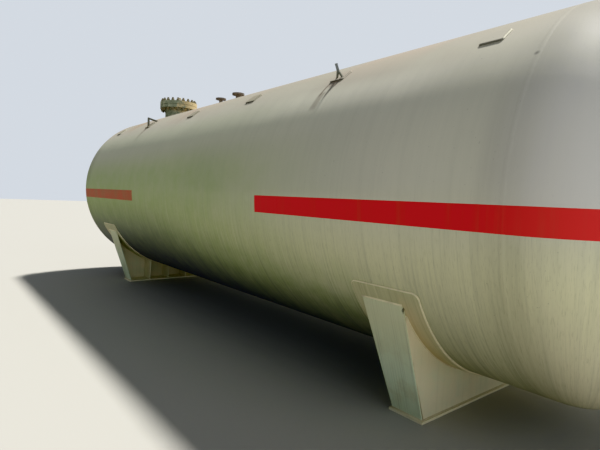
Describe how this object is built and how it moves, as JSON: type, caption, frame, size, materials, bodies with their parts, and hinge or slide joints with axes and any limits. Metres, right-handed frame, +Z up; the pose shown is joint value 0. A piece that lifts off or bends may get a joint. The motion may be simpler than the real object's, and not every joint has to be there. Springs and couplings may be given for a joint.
{
  "type": "horizontal pressure tank",
  "caption": "Horizontal steel pressure tank: a welded shell with dished heads on two saddles, with a bolted manhole and flanged nozzles on its crown and clips along its flanks.",
  "frame": {"origin": "on the floor, under the middle of the tank", "axes": "+X along the tank towards its near end, +Y across it towards its back, +Z up"},
  "size_m": [9.462, 2.7318, 3.396],
  "materials": {
    "tank_paint": "weathered cream paint",
    "saddle_paint": "weathered grey-green paint",
    "manhole_paint": "old olive paint with rust",
    "rusty_steel": "rusted steel",
    "gasket_rubber": "dull"
  },
  "bodies": {
    "root": {"shell_course_1": "tank_paint", "shell_course_2": "tank_paint", "shell_course_3": "tank_paint", "shell_course_4": "tank_paint", "near_head": "tank_paint", "far_head": "tank_paint", "near_saddle_pad": "saddle_paint", "near_saddle_web": "saddle_paint", "near_saddle_front_plate": "saddle_paint", "near_saddle_back_plate": "saddle_paint", "near_saddle_ribs": "saddle_paint", "near_saddle_base": "saddle_paint", "far_saddle_pad": "saddle_paint", "far_saddle_web": "saddle_paint", "far_saddle_front_plate": "saddle_paint", "far_saddle_back_plate": "saddle_paint", "far_saddle_ribs": "saddle_paint", "far_saddle_base": "saddle_paint", "manhole_neck": "manhole_paint", "manhole_flange": "manhole_paint", "manhole_gasket": "gasket_rubber", "manhole_cover": "manhole_paint", "manhole_handle": "manhole_paint", "small_nozzle_pipe": "rusty_steel", "small_nozzle_flange": "rusty_steel", "large_nozzle_pipe": "rusty_steel", "large_nozzle_flange": "rusty_steel", "front_clip_1": "tank_paint", "front_clip_2": "tank_paint", "front_clip_3": "tank_paint", "front_clip_4": "tank_paint", "front_clip_5": "tank_paint", "front_clip_6": "tank_paint", "back_clip_1": "tank_paint", "back_clip_2": "tank_paint", "back_clip_3": "tank_paint", "back_clip_4": "tank_paint", "back_clip_5": "tank_paint", "back_clip_6": "tank_paint", "front_lug": "rusty_steel", "back_lug": "rusty_steel", "front_bracket": "rusty_steel", "back_bracket": "rusty_steel"}
  },
  "joints": []
}
